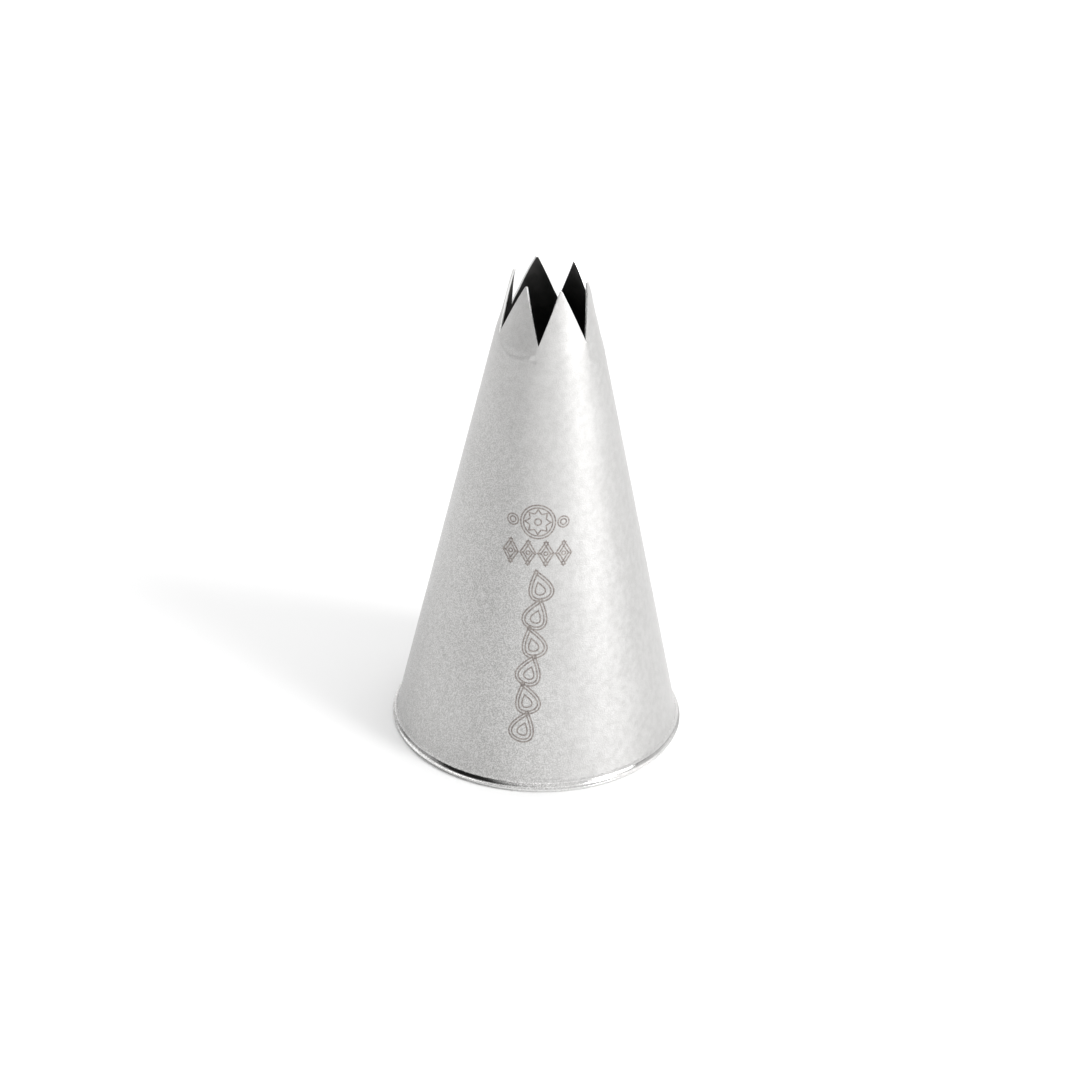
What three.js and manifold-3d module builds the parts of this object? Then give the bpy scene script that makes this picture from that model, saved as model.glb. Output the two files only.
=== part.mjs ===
// An open star piping nozzle for a pastry bag: one piece of thin stainless sheet, drawn into a cone,
// with V notches cut into its narrow end. The teeth between the notches lean in a little, and the wide
// end is turned out into a small trimmed rim that the nozzle stands on.
//
// Millimetres, +Z up along the nozzle's axis. The origin is on the axis, in the plane of the rim's foot.

import * as THREE from 'three';
import { mergeVertices } from 'three/addons/utils/BufferGeometryUtils.js';
import Module from 'manifold-3d';

// Driving dimensions.
const HEIGHT = 50; // foot of the rim to the tips of the teeth
const WALL = 0.4; // thickness of the sheet
const CONE_BASE_RADIUS = 13.74; // outside of the cone, carried down to the foot of the rim
const BEND_RADIUS = 5.0; // outside of the cone where the teeth start to lean in
const TIP_RADIUS = 3.47; // outside of the ring that the tooth tips lie on

const TOOTH_COUNT = 6;
const TOOTH_LENGTH = 5.44; // bottom of a notch to the tips
const BEND_BELOW_NOTCH = 0.66; // the bend lies this far under the bottoms of the notches
const TIP_WIDTH = 0.3; // the blunt end of a tooth
const FIRST_TOOTH_ANGLE = THREE.MathUtils.degToRad(-10.7); // turn of the teeth round the axis

const RIM_OVERHANG = 0.26; // how far the rim stands out past the cone's base radius
const RIM_FILLET = 0.5; // hollow round between the cone and the top of the rim
const RIM_INNER_ROUND = 0.45; // round on the inside, between the wall and the rim's flat foot

// Fineness of the curved surfaces.
const SIDES = 96;
const ARC_STEPS = 4;
const NOTCH_STEPS = 6;

// Worked-out places.
const notchHeight = HEIGHT - TOOTH_LENGTH;
const bendHeight = notchHeight - BEND_BELOW_NOTCH;
const coneAngle = Math.atan2(CONE_BASE_RADIUS - BEND_RADIUS, bendHeight);
const wallAcross = WALL / Math.cos(coneAngle); // the wall's thickness, measured level
const rimRadius = CONE_BASE_RADIUS + RIM_OVERHANG;
const halfPitch = Math.PI / TOOTH_COUNT; // from the middle of a tooth to the middle of a notch

// Outside radius of the sheet at a height: the cone, then the leaning teeth.
function outerRadius(height) {
  if (height <= bendHeight) {
    return CONE_BASE_RADIUS - height * Math.tan(coneAngle);
  }
  const upTooth = (height - bendHeight) / (HEIGHT - bendHeight);
  return THREE.MathUtils.lerp(BEND_RADIUS, TIP_RADIUS, upTooth);
}

// Points along an arc in the (radius, height) plane.
function arc(centre, radius, startAngle, endAngle) {
  const points = [];
  for (let i = 0; i <= ARC_STEPS; i++) {
    const angle = THREE.MathUtils.lerp(startAngle, endAngle, i / ARC_STEPS);
    const spoke = new THREE.Vector2(Math.cos(angle), Math.sin(angle));
    points.push(spoke.multiplyScalar(radius).add(centre));
  }
  return points;
}

// The closed section of the sheet: up the outside, over the top and down the inside.
function sheetSection() {
  const coneTangent = Math.PI + coneAngle;
  const straightDown = 1.5 * Math.PI;

  // The fillet's arc stops at the trimmed edge, where the rim is narrower than the arc is wide.
  const filletHeight = WALL + RIM_FILLET;
  const filletRadius = outerRadius(filletHeight) + RIM_FILLET / Math.cos(coneAngle);
  const filletCentre = new THREE.Vector2(filletRadius, filletHeight);
  const pastEdge = Math.max(0, filletRadius - rimRadius) / RIM_FILLET;
  const filletStart = straightDown - Math.asin(pastEdge);

  const roundRadius = outerRadius(RIM_INNER_ROUND) - wallAcross + RIM_INNER_ROUND / Math.cos(coneAngle);
  const roundCentre = new THREE.Vector2(roundRadius, RIM_INNER_ROUND);

  const section = [new THREE.Vector2(rimRadius, 0)];
  if (rimRadius > filletRadius) {
    section.push(new THREE.Vector2(rimRadius, WALL));
  }
  section.push(...arc(filletCentre, RIM_FILLET, filletStart, coneTangent));
  section.push(new THREE.Vector2(BEND_RADIUS, bendHeight));
  section.push(new THREE.Vector2(TIP_RADIUS, HEIGHT));
  section.push(new THREE.Vector2(TIP_RADIUS - wallAcross, HEIGHT));
  section.push(new THREE.Vector2(BEND_RADIUS - wallAcross, bendHeight));
  section.push(...arc(roundCentre, RIM_INNER_ROUND, coneTangent, straightDown));
  section.push(section[0].clone());
  return section;
}

// One side of a notch as (angle, height) points, from its bottom to above the tips. Its edge is
// straight on the sheet, so the angle that it takes up grows as the radius shrinks.
function notchEdge() {
  const widthAtTips = halfPitch * TIP_RADIUS - TIP_WIDTH / 2;
  const points = [];
  for (let i = 0; i <= NOTCH_STEPS; i++) {
    const height = THREE.MathUtils.lerp(notchHeight, HEIGHT, i / NOTCH_STEPS);
    const width = (widthAtTips * i) / NOTCH_STEPS;
    points.push(new THREE.Vector2(width / outerRadius(height), height));
  }
  const clearAbove = HEIGHT + BEND_BELOW_NOTCH;
  points.push(new THREE.Vector2(points[NOTCH_STEPS].x, clearAbove));
  return points;
}

// The space that one notch takes out. Its flat pattern is made as thick as the radius and wrapped
// round the axis, which leaves every cut face square to the sheet.
function notchSpace(middleAngle) {
  const right = notchEdge();
  const left = right
    .slice(1)
    .reverse()
    .map((point) => new THREE.Vector2(-point.x, point.y));
  const innerReach = TIP_RADIUS / 2;
  const outerReach = CONE_BASE_RADIUS;
  const space = new THREE.ExtrudeGeometry(new THREE.Shape([...right, ...left]), {
    depth: outerReach - innerReach,
    bevelEnabled: false,
  });
  const position = space.attributes.position;
  for (let i = 0; i < position.count; i++) {
    const angle = middleAngle + position.getX(i);
    const radius = innerReach + position.getZ(i);
    position.setXYZ(i, radius * Math.cos(angle), radius * Math.sin(angle), position.getY(i));
  }
  return space;
}

const wasm = await Module();
wasm.setup();

function toSolid(geometry) {
  const bare = geometry.clone();
  bare.deleteAttribute('normal');
  bare.deleteAttribute('uv');
  const merged = mergeVertices(bare);
  const mesh = new wasm.Mesh({
    numProp: 3,
    vertProperties: new Float32Array(merged.attributes.position.array),
    triVerts: new Uint32Array(merged.index.array),
  });
  return new wasm.Manifold(mesh);
}

function toGeometry(solid) {
  const mesh = solid.getMesh();
  const geometry = new THREE.BufferGeometry();
  geometry.setAttribute('position', new THREE.BufferAttribute(mesh.vertProperties, 3));
  geometry.setIndex(new THREE.BufferAttribute(mesh.triVerts, 1));
  geometry.computeVertexNormals();
  return geometry;
}

// The plain drawn cone, with its notches cut out.
function makeNozzle() {
  const cone = new THREE.LatheGeometry(sheetSection(), SIDES).rotateX(Math.PI / 2);
  let solid = toSolid(cone);
  for (let i = 0; i < TOOTH_COUNT; i++) {
    const middleAngle = FIRST_TOOTH_ANGLE + (2 * i + 1) * halfPitch;
    solid = solid.subtract(toSolid(notchSpace(middleAngle)));
  }
  const steel = new THREE.MeshStandardMaterial({ color: 0xc6c6c3, roughness: 0.38, metalness: 1 });
  const nozzle = new THREE.Mesh(toGeometry(solid), steel);
  nozzle.name = 'nozzle';
  return nozzle;
}

const pipingNozzle = new THREE.Group();
pipingNozzle.add(makeNozzle());

export default pipingNozzle;
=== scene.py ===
# %% [markdown]
# # An open star piping nozzle in satin stainless steel
# The real object is one thin sheet of stainless steel, drawn into a cone, with V notches cut round its
# narrow mouth and a small rim turned out at its wide end. It could be three fused primitives, but then the
# light would show every join, so it is modelled as one sheet: first the outer face, ring by ring, and
# then its thickness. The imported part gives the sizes, and this script gives the fine surface.

# %% Load the part
import math

import bpy
import numpy as np
from mathutils import Matrix, Vector


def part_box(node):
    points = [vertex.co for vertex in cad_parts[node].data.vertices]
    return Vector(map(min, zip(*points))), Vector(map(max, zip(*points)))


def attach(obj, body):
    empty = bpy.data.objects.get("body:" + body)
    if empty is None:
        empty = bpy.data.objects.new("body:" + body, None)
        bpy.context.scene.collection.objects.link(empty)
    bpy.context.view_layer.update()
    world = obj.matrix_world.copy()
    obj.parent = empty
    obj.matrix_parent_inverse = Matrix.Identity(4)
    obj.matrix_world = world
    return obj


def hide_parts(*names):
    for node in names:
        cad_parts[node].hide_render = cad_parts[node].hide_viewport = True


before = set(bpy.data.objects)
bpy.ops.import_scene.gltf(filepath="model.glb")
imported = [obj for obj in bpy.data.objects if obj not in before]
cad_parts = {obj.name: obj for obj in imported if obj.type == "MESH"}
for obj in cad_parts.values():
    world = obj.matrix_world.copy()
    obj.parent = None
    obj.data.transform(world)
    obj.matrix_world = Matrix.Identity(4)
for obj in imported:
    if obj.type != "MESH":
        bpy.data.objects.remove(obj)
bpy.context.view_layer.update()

MM = 0.001
nozzle_low, nozzle_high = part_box("nozzle")
print("the part measures", [round(side / MM, 2) for side in nozzle_high - nozzle_low], "mm")

# %% [markdown]
# ## Sizes
# The height and the rim come from the part itself. The other sizes are those of the sheet: its gauge, the
# cone it is drawn to, the bend where the teeth begin to lean in, and the teeth. Everything below is worked
# out from them, so a change here carries through.

# %% Sizes of the sheet
height = nozzle_high.z
rim_radius = nozzle_high.x
wall = 0.4 * MM
cone_base_radius = rim_radius - 0.26 * MM
bend_radius = 5.0 * MM
tip_radius = 3.47 * MM
flare_at_edge = math.radians(66)  # how far the rim has turned out where it is trimmed

tooth_count = 6
tooth_length = 5.44 * MM
bend_below_notch = 0.66 * MM
tip_width = 0.18 * MM
first_tooth = math.radians(-10.7)

notch_height = height - tooth_length
bend_height = notch_height - bend_below_notch
cone_slope = (cone_base_radius - bend_radius) / bend_height
tooth_slope = (bend_radius - tip_radius) / (height - bend_height)
half_pitch = math.pi / tooth_count
print("cone half-angle", round(math.degrees(math.atan(cone_slope)), 2), "degrees")


def outer_radius(z):
    """Outside radius of the sheet at a height, for one height or an array of them."""
    on_cone = cone_base_radius - cone_slope * z
    on_teeth = bend_radius - tooth_slope * (z - bend_height)
    return np.where(z < bend_height, on_cone, on_teeth)


# %% [markdown]
# ## Camera
# A small, slim thing is seen best from about a metre away through a long lens, so that its sides stay
# nearly parallel. The camera looks down at 32 degrees, which shows the mouth from above, and leans by 1.8.

# %% Camera
camera_elevation = math.radians(31.96)
camera_roll = math.radians(1.776)
camera_distance = 1.0
camera_lens = 345.8  # millimetres, on a sensor 36 mm wide

toward_camera = Vector((0, -math.cos(camera_elevation), math.sin(camera_elevation)))
level_right = Vector((1, 0, 0))
level_up = toward_camera.cross(level_right)
frame_right = math.cos(camera_roll) * level_right + math.sin(camera_roll) * level_up
frame_up = toward_camera.cross(frame_right)
camera_data = bpy.data.cameras.new("camera")
camera_data.lens = camera_lens
camera_data.shift_x = -0.0028
camera_data.shift_y = -0.0401
camera_data.clip_end = 50
camera = bpy.data.objects.new("camera", camera_data)
bpy.context.collection.objects.link(camera)
camera_axes = Matrix((frame_right, frame_up, toward_camera)).transposed().to_4x4()
look_at = Vector((0, 0, height / 2))
camera.matrix_world = Matrix.Translation(look_at + camera_distance * toward_camera) @ camera_axes
bpy.context.scene.camera = camera
print("camera at", [round(c, 3) for c in camera.location])

# %% [markdown]
# ## The sheet's outer face
# A drawn cone has no seam, so its outer face is a tube of rings. It could be a cone primitive with loop
# cuts, but its outline also has the rim's hollow round, and only rings at chosen heights can follow that.
# So a circle is laid where the rim's top edge is, and the ring is pulled up and drawn in, step by step.
# The rings are close together round the mouth, where the teeth are cut and pressed.

# %% Outline of the outer face, from the rim's edge to the tips
columns = 300
fillet_steps = 8
cone_steps = 30
neck_steps = 7
crown_steps = 44
neck_height = 38 * MM
crown_height = 42.6 * MM

cone_angle = math.atan(cone_slope)
edge_height = wall * math.sin(flare_at_edge)
turned_out = math.cos(cone_angle) - math.cos(flare_at_edge)
turned_down = math.sin(flare_at_edge) - math.sin(cone_angle)
rim_fillet = (rim_radius - float(outer_radius(edge_height))) / (turned_out - cone_slope * turned_down)
fillet_start = edge_height + rim_fillet * turned_down
fillet_middle_z = fillet_start + rim_fillet * math.sin(cone_angle)
fillet_middle_r = float(outer_radius(fillet_start)) + rim_fillet * math.cos(cone_angle)
edge_angle = -math.pi + flare_at_edge
tangent_angle = -math.pi + cone_angle
print("the rim's hollow round has a radius of", round(rim_fillet / MM, 2), "mm")
outline = [
    (fillet_middle_r + rim_fillet * math.cos(turn), fillet_middle_z + rim_fillet * math.sin(turn))
    for turn in np.linspace(edge_angle, tangent_angle, fillet_steps + 1)
]
straight_heights = np.concatenate([
    np.linspace(outline[-1][1], neck_height, cone_steps + 1)[1:],
    np.linspace(neck_height, crown_height, neck_steps + 1)[1:],
    np.linspace(crown_height, height, crown_steps + 1)[1:],
])
outline += [(float(outer_radius(z)), float(z)) for z in straight_heights]
print(len(outline), "rings of", columns, "points")


# %% Helpers for modelling by hand
def deselect_everything():
    if bpy.context.mode != "OBJECT":
        bpy.ops.object.mode_set(mode="OBJECT")
    bpy.ops.object.select_all(action="DESELECT")


def named(name):
    """Names the object just added and its mesh, and returns it."""
    made = bpy.context.active_object
    made.name = made.data.name = name
    return made


def apply_modifier(piece, kind, **settings):
    """Adds one modifier to the active piece with these settings and applies it."""
    modifier = piece.modifiers.new(kind.lower(), kind)
    for setting, value in settings.items():
        setattr(modifier, setting, value)
    bpy.ops.object.modifier_apply(modifier=modifier.name)


def points_of(piece):
    places = np.empty(len(piece.data.vertices) * 3)
    piece.data.vertices.foreach_get("co", places)
    return places.reshape(-1, 3)


def put_points(piece, places):
    piece.data.vertices.foreach_set("co", places.ravel())
    piece.data.update()


# %% Pull the rings up from the rim
deselect_everything()
first_radius, first_height = outline[0]
bpy.ops.mesh.primitive_circle_add(
    vertices=columns, radius=first_radius, location=(0, 0, first_height), rotation=(0, 0, first_tooth)
)
nozzle = named("satin_nozzle")
bpy.ops.object.transform_apply(location=True, rotation=True, scale=True)
bpy.ops.object.mode_set(mode="EDIT")
bpy.ops.mesh.select_all(action="SELECT")
for (radius, z), (next_radius, next_z) in zip(outline, outline[1:]):
    bpy.ops.mesh.extrude_region_move(TRANSFORM_OT_translate={"value": (0, 0, next_z - z)})
    draw_in = next_radius / radius
    bpy.ops.transform.resize(value=(draw_in, draw_in, 1), center_override=(0, 0, next_z))
bpy.ops.mesh.select_all(action="SELECT")
bpy.ops.mesh.normals_make_consistent(inside=False)
bpy.ops.object.mode_set(mode="OBJECT")
print("outer face:", len(nozzle.data.polygons), "faces")

# %% [markdown]
# ## Teeth
# The mouth of the real nozzle is cut by a punch: V notches, with blunt tips left between them. The notches
# could be cut out with a boolean, which leaves long thin triangles along them. Here the top rings slide
# down the sheet until the last one lies along the zigzag, so each notch has clean, even faces. No two
# teeth are quite alike: one is a little short, and the notches differ by a few tenths.

# %% Cut the mouth into teeth
tip_drop = np.array([0.33, 0.0, 0.0, 0.03, 0.0, 0.0]) * MM  # anticlockwise from the tooth nearest +X
notch_rise = np.array([0.0, 0.05, 0.3, -0.4, 0.1, -0.15]) * MM  # each one follows its tooth


def round_the_axis(places):
    """Each point's radius, angle, tooth number and angle from the middle of that tooth."""
    radius = np.hypot(places[:, 0], places[:, 1])
    angle = np.arctan2(places[:, 1], places[:, 0])
    turns = (angle - first_tooth) / (2 * half_pitch)
    tooth = np.rint(turns).astype(int)
    return radius, angle, tooth % tooth_count, (turns - tooth) * 2 * half_pitch


def mouth_height(tooth, off_middle):
    """Height of the cut edge at an angle from the middle of a tooth. The edge is straight on the sheet."""
    tip = height - tip_drop[tooth]
    notch = notch_height + notch_rise[np.where(off_middle >= 0, tooth, tooth - 1) % tooth_count]
    opening = (half_pitch * tip_radius - tip_width / 2) / (tip - notch)
    from_notch = half_pitch - np.abs(off_middle)
    level = bend_radius + tooth_slope * bend_height
    edge = (from_notch * level + opening * notch) / (opening + from_notch * tooth_slope)
    return np.minimum(edge, tip)


tip_turn = np.radians([0, -2, 2.5, -3, 0, 0])
notch_turn = np.radians([0, 0, 2, -1, 0, 0])


def turn_of(angle):
    """How far the cut is off its even spacing, at an angle round the axis."""
    turns = np.stack([tip_turn, notch_turn], 1).ravel()
    steps = ((angle - first_tooth) / half_pitch) % (2 * tooth_count)
    return np.interp(steps, np.arange(2 * tooth_count + 1), np.append(turns, turns[0]))


places = points_of(nozzle)
radius, angle, tooth, off_middle = round_the_axis(places)
slide = (mouth_height(tooth, off_middle) - neck_height) / (height - neck_height)
z = places[:, 2]
z = np.where(z > neck_height, neck_height + (z - neck_height) * slide, z)
radius = np.where(z > neck_height, outer_radius(z), radius)
share_up = np.clip((z - neck_height) / (notch_height - neck_height), 0, 1)
turned = angle + turn_of(angle) * share_up
put_points(nozzle, np.stack([radius * np.cos(turned), radius * np.sin(turned), z], 1))
print("tips from", round(float(height - tip_drop.max()) / MM, 2), "to", round(float(z.max()) / MM, 2), "mm")

# %% [markdown]
# After the cut, each tooth is pressed in by a tool with a rounded end. That leaves a shallow U-shaped
# crease under the tooth and takes a little of the curve out of it. A crease this soft has no edge to
# extrude, so the points are moved by a formula: nothing below the U, a small step in at it, and above it a
# pull that is strongest in the middle of the tooth.

# %% Press the teeth in
press_depth = np.array([0.08, 0.05, 0.06, 0.0, 0.035, 0.01]) * MM
crease_height = np.array([41.7, 43.05, 43.05, 43.05, 43.1, 43.05]) * MM
tip_out = np.array([0.2, 0.12, 0.2, 0.12, 0.0, 0.0]) * MM
crease_rise = 1.4 * MM
crease_power = 2.4  # how late the crease turns up on its way to the side of a tooth
crease_width = np.array([1.0, 0.4, 0.4, 0.4, 0.2, 0.4]) * MM
press_fades_from = 0.8  # share of the way from the middle of a tooth to its side
flattening = 0.04 * MM
flattening_reach = 3 * MM
lean_power = 1.5
knock_angle, knock_height = math.radians(-105), 43.3 * MM  # a small knock beside the crease
knock_depth, knock_radius = 0.07 * MM, 0.22 * MM


def smooth_step(low, high, value):
    share = np.clip((value - low) / (high - low), 0, 1)
    return share * share * (3 - 2 * share)


places = points_of(nozzle)
radius, angle, tooth, off_middle = round_the_axis(places)
z = places[:, 2]
across = np.abs(off_middle) / half_pitch
low_point = crease_height[tooth]
crease = low_point + crease_rise * across**crease_power
half_crease = crease_width[tooth] / 2
inside_press = smooth_step(crease - half_crease, crease + half_crease, z)
fade_at_sides = 1 - smooth_step(press_fades_from, 1.0, across)
pull = press_depth[tooth] * inside_press * fade_at_sides
pull += flattening * (1 - across**2) * smooth_step(low_point, low_point + flattening_reach, z)
lean_share = smooth_step(bend_height, height, z) ** lean_power
lean_back = (flattening + tip_out[tooth] * fade_at_sides) * lean_share
from_knock = np.hypot((angle - knock_angle) * bend_radius, z - knock_height)
knock = knock_depth * np.exp(-((from_knock / knock_radius) ** 2))
radius = radius - pull + lean_back - knock
put_points(nozzle, np.stack([radius * np.cos(angle), radius * np.sin(angle), z], 1))
print("deepest press", round(float(pull.max()) / MM, 3), "mm")

# %% [markdown]
# ## Thickness and edges
# The sheet is 0.4 mm thick over most of the cone and thins to 0.22 mm at the teeth. Its cut faces are square
# to it. Solidify makes all of that from the outer face, with a vertex group that says how thick each ring
# is. The shears leave crisp edges, and tumbling in the finishing drum takes only a few hundredths off them,
# so a very narrow bevel follows. It is what catches the light along the teeth.

# %% Give the sheet its thickness
edge_break = 0.02 * MM
tooth_wall = 0.22 * MM
thinning_starts = 38 * MM
thinning_ends = 45 * MM
deselect_everything()
nozzle.select_set(True)
bpy.context.view_layer.objects.active = nozzle
gauge = nozzle.vertex_groups.new(name="gauge")
for index, z in enumerate(points_of(nozzle)[:, 2]):
    gauge.add([index], 1 - float(smooth_step(thinning_starts, thinning_ends, z)), "REPLACE")
finish_slots = ["satin", "inside", "cut edge"]
for slot_name in finish_slots:
    nozzle.data.materials.append(bpy.data.materials.new(slot_name))
apply_modifier(
    nozzle, "SOLIDIFY", thickness=wall, offset=-1, use_even_offset=True,
    material_offset=1, material_offset_rim=2,
    vertex_group="gauge", thickness_vertex_group=tooth_wall / wall,
)
places = points_of(nozzle)
radius = np.hypot(places[:, 0], places[:, 1])
fit_in = np.minimum(1, rim_radius / radius)  # the trimmed edge stays inside the rim, and the foot is flat
places[:, 0] *= fit_in
places[:, 1] *= fit_in
foot_reach = 0.02 * MM
places[:, 2] = np.where(places[:, 2] < foot_reach, 0, places[:, 2])
put_points(nozzle, places)
apply_modifier(
    nozzle, "BEVEL", width=edge_break, segments=2, limit_method="ANGLE", angle_limit=math.radians(50),
    use_clamp_overlap=True,
)
bpy.ops.object.shade_smooth_by_angle(angle=math.radians(35))
print("sheet:", len(nozzle.data.polygons), "faces")

# %% [markdown]
# ## Etched marks
# The maker etches a few small outlined figures down one side, a few microns deep and browner than the
# steel. They could be painted with a mask in the shader, but lines this fine keep their edges only as
# geometry. Each line is a flat face whose middle is inset and taken out, and many figures have a second
# line inside the first. The whole drawing is then laid on the cone, a few microns proud of it, so that it
# covers the steel. The figures are a star in a ring between two small double rings, a row of four
# lozenges and a chain of six piped drops.

# %% Helpers for drawing in double lines
line_width = 0.15
line_gap = 0.12


def along(corners, count):
    """Evenly spaced points along a closed line through these corners."""
    closed = np.vstack([corners, corners[:1]])
    run = np.concatenate([[0], np.cumsum(np.hypot(*np.diff(closed, axis=0).T))])
    stations = np.linspace(0, run[-1], count, endpoint=False)
    return np.stack([np.interp(stations, run, closed[:, 0]), np.interp(stations, run, closed[:, 1])], 1)


def star(points, outer, inner):
    turns = np.linspace(0, 2 * math.pi, 2 * points, endpoint=False)
    reach = np.where(np.arange(2 * points) % 2, inner, outer)
    return np.stack([-reach * np.sin(turns), reach * np.cos(turns)], 1)


def drop(half_width, half_height, tilt):
    """A piped drop: round at its foot and drawn out to a point, leaning over by an angle."""
    turns = np.linspace(0, 2 * math.pi, 40, endpoint=False)
    across = half_width * np.sin(turns) * np.sin(turns / 2) ** 1.3 * 1.25
    up = half_height * np.cos(turns)
    lean = math.radians(tilt)
    sideways = across * math.cos(lean) + up * math.sin(lean)
    upwards = up * math.cos(lean) - across * math.sin(lean)
    return np.stack([sideways, upwards], 1)


etched_lines = []


def etch(figure, middle, count=48, lines=(0, line_width + line_gap)):
    """Draws a closed figure round its middle, with a line at each of these insets. Millimetres."""
    for inset in lines:
        deselect_everything()
        bpy.ops.mesh.primitive_circle_add(vertices=count, radius=MM, fill_type="NGON")
        line = named(f"line_{len(etched_lines)}")
        outline_points = (along(figure, count) + middle) * MM
        put_points(line, np.column_stack([outline_points, np.zeros(count)]))
        bpy.ops.object.mode_set(mode="EDIT")
        bpy.ops.mesh.select_mode(type="FACE")
        bpy.ops.mesh.select_all(action="SELECT")
        if inset:
            bpy.ops.mesh.inset(thickness=inset * MM, use_even_offset=False)
            bpy.ops.mesh.select_all(action="INVERT")
            bpy.ops.mesh.delete(type="FACE")
            bpy.ops.mesh.select_all(action="SELECT")
        bpy.ops.mesh.inset(thickness=line_width * MM, use_even_offset=False)
        bpy.ops.mesh.delete(type="FACE")
        bpy.ops.object.mode_set(mode="OBJECT")
        etched_lines.append(line)


# %% Draw the figures flat: across is along the arc, up is height on the nozzle
def disc(radius):
    return star(24, radius, radius)


star_across, star_up = -0.4, 27.3
lozenges_up = 24.15
drop_count, drop_tilt = 6, 16
first_drop, drop_step = np.array([-0.05, 20.95]), np.array([-0.24, -2.86])
small_drop_below = 0.3

etch(disc(1.75), (star_across, star_up), 64)
etch(star(8, 1.38, 0.92), (star_across, star_up), 64, lines=(0,))
etch(disc(0.4), (star_across, star_up), 24, lines=(0,))
for across in (-2.85, 2.05):
    etch(disc(0.62), (across, star_up), 32, lines=(0, 0.26))
for across in (-3.0, -1.28, 0.44, 2.16):
    etch(star(2, 1.38, 0.86), (across, lozenges_up), 40)
    etch(disc(0.26), (across, lozenges_up), 16, lines=(0,))
for number in range(drop_count):
    place = first_drop + drop_step * number
    tilt = drop_tilt if number % 2 else -drop_tilt
    etch(drop(1.4, 1.72, tilt), place, 56)
    etch(drop(0.62, 0.75, tilt), place - (0, small_drop_below), 32, lines=(0,))
reach = float(max(np.abs(points_of(line)[:, 0]).max() for line in etched_lines))
print(len(etched_lines), "etched lines, the widest reaching", round(reach / MM, 2), "mm to the side")

# %% Lay the drawing on the cone
line_stands = 0.003 * MM
line_depth = 0.012 * MM
facing_side = math.radians(-90)
deselect_everything()
for line in etched_lines:
    line.select_set(True)
bpy.context.view_layer.objects.active = etched_lines[0]
bpy.ops.object.join()
marks = named("etched_marks")
flat = points_of(marks)
angle = facing_side + flat[:, 0] / outer_radius(flat[:, 1])
radius = outer_radius(flat[:, 1]) + line_stands
put_points(marks, np.stack([radius * np.cos(angle), radius * np.sin(angle), flat[:, 1]], 1))
marks.data.materials.append(bpy.data.materials.new("etched"))
apply_modifier(marks, "SOLIDIFY", thickness=line_depth, offset=-1)
print("etched marks:", len(marks.data.polygons), "faces")

# %% [markdown]
# ## Shader arithmetic
# A finish is a graph of nodes, and most of them are sums and products. Wrapping a socket in a small class
# lets Python's own signs stand for Math nodes, so a finish reads like a formula.


# %% Sockets that can be added and multiplied
class Wire:
    """An output socket that Python's operators work on: each one adds a Math node."""

    def __init__(self, nodes, socket):
        self.nodes, self.socket = nodes, socket

    def combine(self, operation, left, right):
        return self.nodes.add("ShaderNodeMath", {"operation": operation}, {0: left, 1: right})

    def __add__(self, other):
        return self.combine("ADD", self, other)

    def __sub__(self, other):
        return self.combine("SUBTRACT", self, other)

    def __rsub__(self, other):
        return self.combine("SUBTRACT", other, self)

    def __mul__(self, other):
        return self.combine("MULTIPLY", self, other)

    __radd__, __rmul__ = __add__, __mul__


class Nodes:
    """A node tree that nodes are added to by type, settings and socket values."""

    def __init__(self, tree):
        self.tree = tree

    def add(self, kind, settings, sockets, output=0):
        node = self.tree.nodes.new(kind)
        for setting, value in settings.items():
            setattr(node, setting, value)
        for name, value in sockets.items():
            self.feed(node.inputs[name], value)
        return Wire(self, node.outputs[output])

    def feed(self, socket, value):
        if isinstance(value, Wire):
            self.tree.links.new(value.socket, socket)
        else:
            socket.default_value = value

    def map(self, value, low, high, to_low=0.0, to_high=1.0):
        """The value's share of the way from low to high, smoothed, as a number from to_low to to_high."""
        return self.add(
            "ShaderNodeMapRange",
            {"interpolation_type": "SMOOTHSTEP"},
            {"Value": value, "From Min": low, "From Max": high, "To Min": to_low, "To Max": to_high},
        )

    def noise(self, place, scale, detail=2.0, stretch=(1, 1, 1)):
        """A noise pattern from 0 to 1 with so many features to a metre, stretched by axis."""
        stretched = self.add("ShaderNodeMapping", {}, {"Vector": place, "Scale": stretch})
        return self.add("ShaderNodeTexNoise", {}, {"Vector": stretched, "Scale": scale, "Detail": detail})

    def blend(self, amount, first, second):
        """From the first colour to the second, by an amount from 0 to 1."""
        return self.add(
            "ShaderNodeMix", {"data_type": "RGBA"}, {"Factor": amount, "A": first, "B": second}, "Result"
        )


class Finish(Nodes):
    """A material, and the nodes that feed its one shader."""

    def __init__(self, name):
        self.material = bpy.data.materials[name]
        self.material.use_nodes = True
        super().__init__(self.material.node_tree)
        self.shader = self.tree.nodes["Principled BSDF"]
        self.place = self.add("ShaderNodeTexCoord", {}, {}, "Object")

    def set(self, **sockets):
        for name, value in sockets.items():
            self.feed(self.shader.inputs[name.replace("_", " ")], value)
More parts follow.
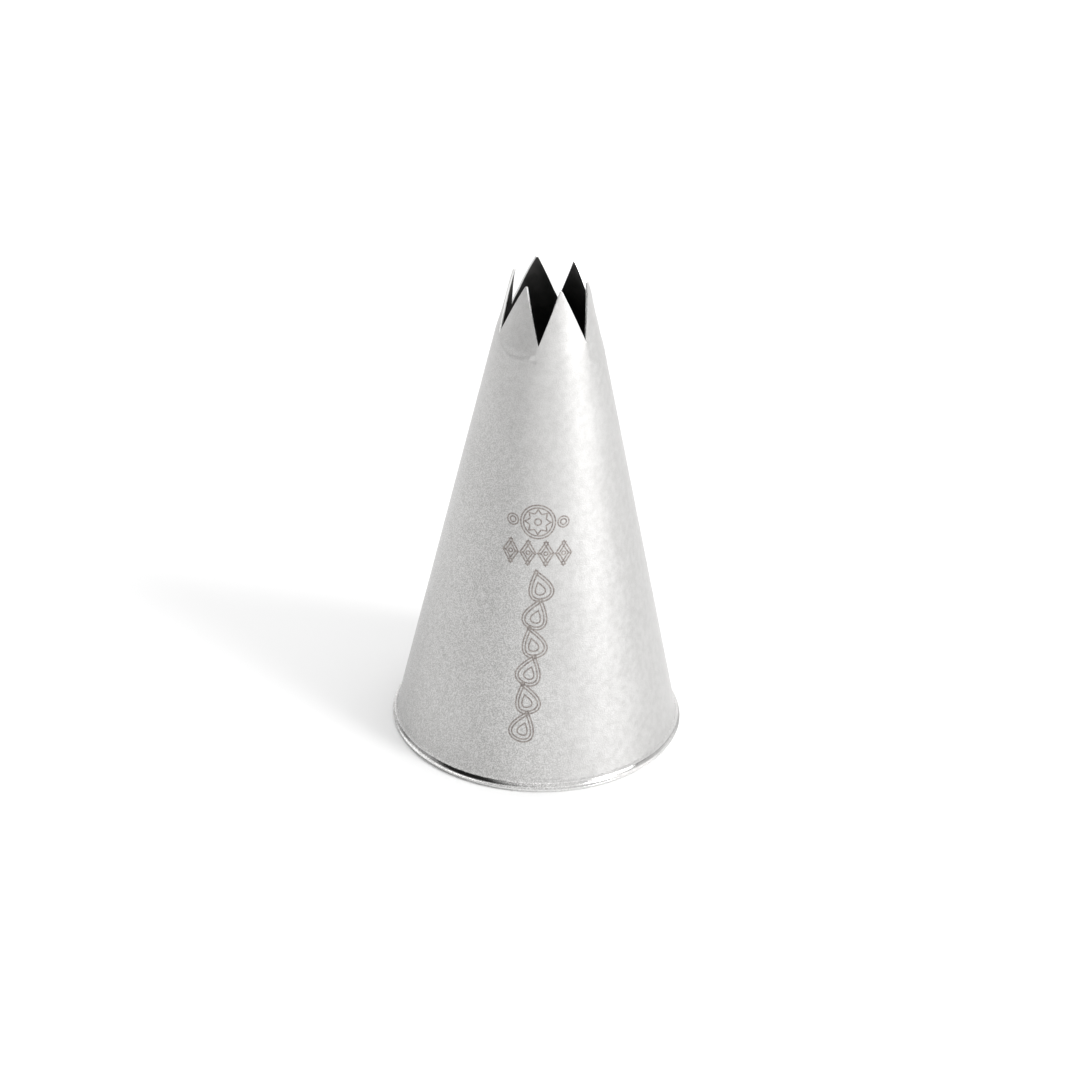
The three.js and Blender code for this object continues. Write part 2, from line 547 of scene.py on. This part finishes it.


# %% [markdown]
# ## Finishes
# The outside has a satin tumbled finish: the drum leaves a fine pebbled grain, and under it are faint rings
# from the draw. The tool that turns the rim out burnishes a band in the rim's hollow. The inside is painted
# darker, as painted shade for the hollow of the cone. The cut edges are brighter, because the shears burnish
# them.

# %% Satin outside
satin_relief = 0.036 * MM
burnished_roughness = 0.13
speckle_contrast = 0.4
satin = Finish("satin")
grain = satin.noise(satin.place, 8500, 1)
pebble = satin.noise(satin.place, 1500, 2)
cloud = satin.noise(satin.place, 160, 3)
draw_rings = satin.noise(satin.place, 900, 2, stretch=(0.04, 0.04, 1))
# The grain's colour speckle is the steel's own, but it is made stronger on the front-left side and weaker on
# the right. That extra contrast is painted reflection: it stands in for the sharper reflections of the dim
# room and the shadowed table on that side.
toward_front_left = satin.add(
    "ShaderNodeVectorMath", {"operation": "DOT_PRODUCT"}, {0: satin.place, 1: (-0.8, -0.6, 0)}, "Value"
)
up_the_side = satin.add("ShaderNodeSeparateXYZ", {}, {"Vector": satin.place}, "Z")

painted_reflection_contrast = satin.map(toward_front_left, 3 * MM, 9 * MM, 0.35, 2.0)
speckle = (satin.map(grain, 0.36, 0.64) - 0.5) * painted_reflection_contrast * speckle_contrast
shade = speckle + satin.map(cloud * 0.3 + pebble * 0.7, 0.3, 0.7, 0.38, 0.62)
ragged_edge = satin.noise(satin.place, 3000, 2) * (0.5 * MM)
burnish = satin.map(up_the_side + ragged_edge, 1.15 * MM, 1.45 * MM, 1, 0)
satin_roughness = satin.map(grain * 0.5 + pebble * 0.5, 0.3, 0.7, 0.36, 0.46)
relief = (grain * 0.5 + pebble * 0.15 + draw_rings * 0.1) * (1 - burnish * 0.6)
satin.set(
    Base_Color=satin.blend(shade, (0.385, 0.381, 0.375, 1), (0.65, 0.646, 0.64, 1)),
    Metallic=1.0,
    Roughness=burnish * burnished_roughness + (1 - burnish) * satin_roughness,
    Normal=satin.add("ShaderNodeBump", {}, {"Height": relief, "Distance": satin_relief, "Strength": 1.0}),
)
print("satin outside:", len(satin.tree.nodes), "nodes")

# %% Inside and cut edges
inside = Finish("inside")
inside_mottle = inside.noise(inside.place, 700, 3)
inside.set(
    # The inside's dark base colour is painted shade for the hollow of the cone. The mottle in it is random.
    Base_Color=inside.blend(inside_mottle, (0.13, 0.13, 0.13, 1), (0.24, 0.235, 0.23, 1)),
    Metallic=1.0,
    Roughness=inside.map(inside_mottle, 0.3, 0.7, 0.4, 0.5),
)
cut = Finish("cut edge")
shear_lines = cut.noise(cut.place, 5000, 2, stretch=(1, 1, 0.15))
cut.set(
    Base_Color=cut.blend(shear_lines, (0.72, 0.72, 0.71, 1), (0.86, 0.86, 0.85, 1)),
    Metallic=1.0,
    Roughness=cut.map(shear_lines, 0.3, 0.7, 0.25, 0.4),
)
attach(nozzle, "root")
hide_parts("nozzle")
print("inside and cut edges:", len(inside.tree.nodes), "and", len(cut.tree.nodes), "nodes")

# %% Etched lines
etched_relief = 0.05 * MM
etched = Finish("etched")
bite = etched.noise(etched.place, 5000, 2)
browning = etched.map(bite, 0.35, 0.65)
etched.set(
    Base_Color=etched.blend(browning, (0.23, 0.205, 0.195, 1), (0.38, 0.355, 0.335, 1)),
    Metallic=1.0,
    Roughness=etched.map(bite, 0.3, 0.7, 0.4, 0.5),
    Normal=etched.add("ShaderNodeBump", {}, {"Height": bite, "Distance": etched_relief, "Strength": 1.0}),
)
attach(marks, "root")
print("etched lines:", len(etched.tree.nodes), "nodes")

# %% [markdown]
# ## Studio
# The nozzle stands on a white table that fills the view. Two soft lights stand on the right and a little in
# front: a wide low one draws the bright stripe down the cone, and a small high one throws the faint shadow
# and lights the rim's hollow. The room is bright overhead and behind and dim at the left front, and the
# steel mirrors that as its shading.

# %% Table
table_radius = 6
deselect_everything()
bpy.ops.mesh.primitive_circle_add(vertices=96, radius=table_radius, fill_type="NGON", location=(0, 0, 0))
table = named("table")
paper = bpy.data.materials.new("white table")
table.data.materials.append(paper)
white = Finish("white table")
white.set(Base_Color=(0.785, 0.785, 0.785, 1), Roughness=0.7)
print("table", 2 * table_radius, "m across")

# %% Lights
softbox_distance = 0.9


def softbox(name, azimuth, elevation, width, length, energy):
    """A soft light that faces the nozzle, placed by the direction that it shines from, in degrees."""
    data = bpy.data.lights.new(name, "AREA")
    data.shape = "RECTANGLE"
    data.size, data.size_y, data.energy = width, length, energy
    light = bpy.data.objects.new(name, data)
    bpy.context.collection.objects.link(light)
    azimuth, elevation = math.radians(azimuth), math.radians(elevation)
    level = math.cos(elevation)
    toward_light = Vector((math.cos(azimuth) * level, math.sin(azimuth) * level, math.sin(elevation)))
    light.location = look_at + softbox_distance * toward_light
    light.rotation_euler = toward_light.to_track_quat("Z", "Y").to_euler()


softbox("stripe", azimuth=-26, elevation=15, width=0.5, length=0.4, energy=3.85)
softbox("key", azimuth=-29, elevation=43, width=0.22, length=0.22, energy=3.1)
print("lights:", [light.name for light in bpy.data.lights])

# %% Room
room = bpy.data.worlds.new("room")
bpy.context.scene.world = room
room.use_nodes = True
room_nodes = Nodes(room.node_tree)
direction = room_nodes.add("ShaderNodeTexCoord", {}, {}, "Generated")


def glow(toward, fades_out, full_from, brightness):
    """A soft patch of the room round a direction. Both shares are cosines of the angle from its middle."""
    facing = room_nodes.add(
        "ShaderNodeVectorMath", {"operation": "DOT_PRODUCT"},
        {0: direction, 1: Vector(toward).normalized()}, "Value",
    )
    return room_nodes.map(facing, fades_out, full_from, 0.0, brightness)


ceiling = glow((0.15, 0.1, 1), 0.65, 0.85, 1.1)
wall_behind_camera = glow((0.33, -1, 0.35), 0.59, 0.95, 1.12)
wall_behind_nozzle = glow((0, 1, 0.25), 0.3, 1.0, 1.05)
right_wall = glow((0.8, 0.26, 0.53), 0.8, 0.95, 0.85)
left_reflector = glow((-0.52, 0.35, 0.78), 0.85, 0.97, 1.45)
left_wall = glow((-0.93, 0.13, 0.33), 0.93, 0.98, 0.5)
walls = wall_behind_camera + wall_behind_nozzle + right_wall + left_wall + left_reflector
upward = room_nodes.add("ShaderNodeSeparateXYZ", {}, {"Vector": direction}, "Z")
skirting = room_nodes.map(upward, 0.03, 0.12, 0.85, 0)
dimmest = 0.02
light = ceiling + walls + skirting + dimmest
background = room.node_tree.nodes["Background"]
room_nodes.feed(background.inputs["Strength"], light)
background.inputs["Color"].default_value = (1, 1, 1, 1)
bpy.context.scene.view_settings.view_transform = "Standard"
print("room:", len(room_nodes.tree.nodes), "nodes")
